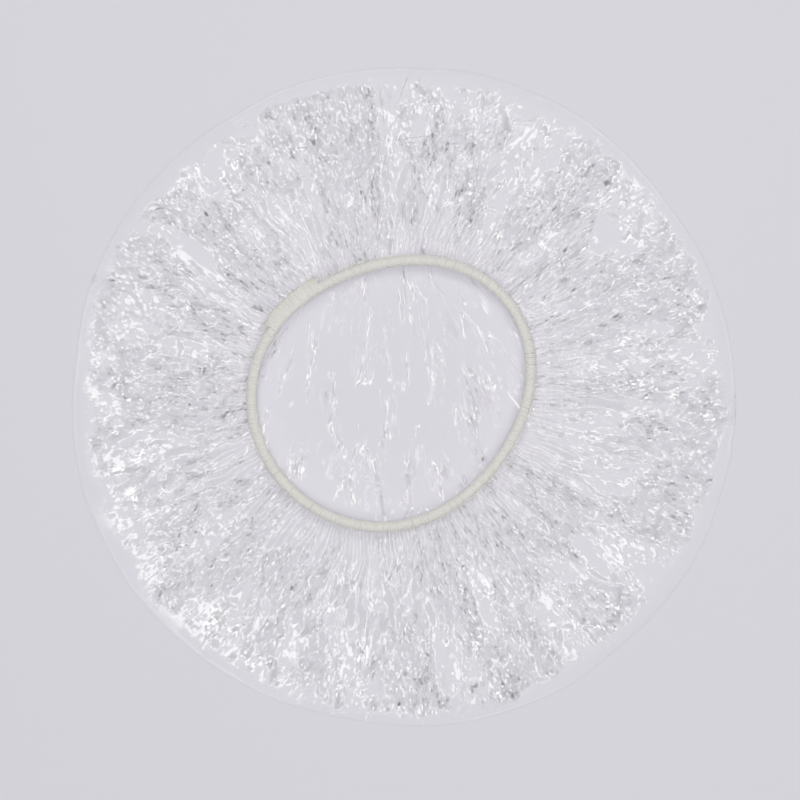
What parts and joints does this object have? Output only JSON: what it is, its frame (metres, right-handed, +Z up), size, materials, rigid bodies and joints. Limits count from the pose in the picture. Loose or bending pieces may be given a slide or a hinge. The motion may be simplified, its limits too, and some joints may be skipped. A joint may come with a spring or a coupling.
{
  "type": "disposable film hair cap",
  "caption": "Clear crinkled film hair cap laid flat, its gathered edge overlocked round a covered elastic loop that forms the head opening.",
  "frame": {"origin": "centre of the cap's outline, on the surface it lies on", "axes": "+Z up out of the head opening; the overlap of the elastic's ends is on the -X +Y side"},
  "size_m": [0.29, 0.29, 0.0071],
  "materials": {
    "clear_film": "clear soft polythene film, crinkled, with sharp white glints",
    "cover_yarn": "matte cream textured yarn",
    "rubber_strand": "pale cream rubber",
    "sewing_thread": "matte cream overlock thread"
  },
  "bodies": {
    "crown": {"crown_film": "clear_film", "rim_fold": "clear_film", "skirt_film": "clear_film"},
    "band": {"hem_film": "clear_film", "elastic_sleeve": "cover_yarn", "lap_sleeve": "cover_yarn", "elastic_strand_1": "rubber_strand", "elastic_strand_2": "rubber_strand", "elastic_strand_3": "rubber_strand", "lap_strand_1": "rubber_strand", "lap_strand_2": "rubber_strand", "lap_strand_3": "rubber_strand", "looper_thread": "sewing_thread", "needle_thread": "sewing_thread", "lap_thread": "sewing_thread", "thread_tail": "sewing_thread"}
  },
  "joints": [
    {"name": "band_lift", "type": "slide", "parent": "crown", "child": "band", "axis": [0, 0, 1], "range_m": [0, 0.04], "deforming": ["skirt_film"]}
  ]
}
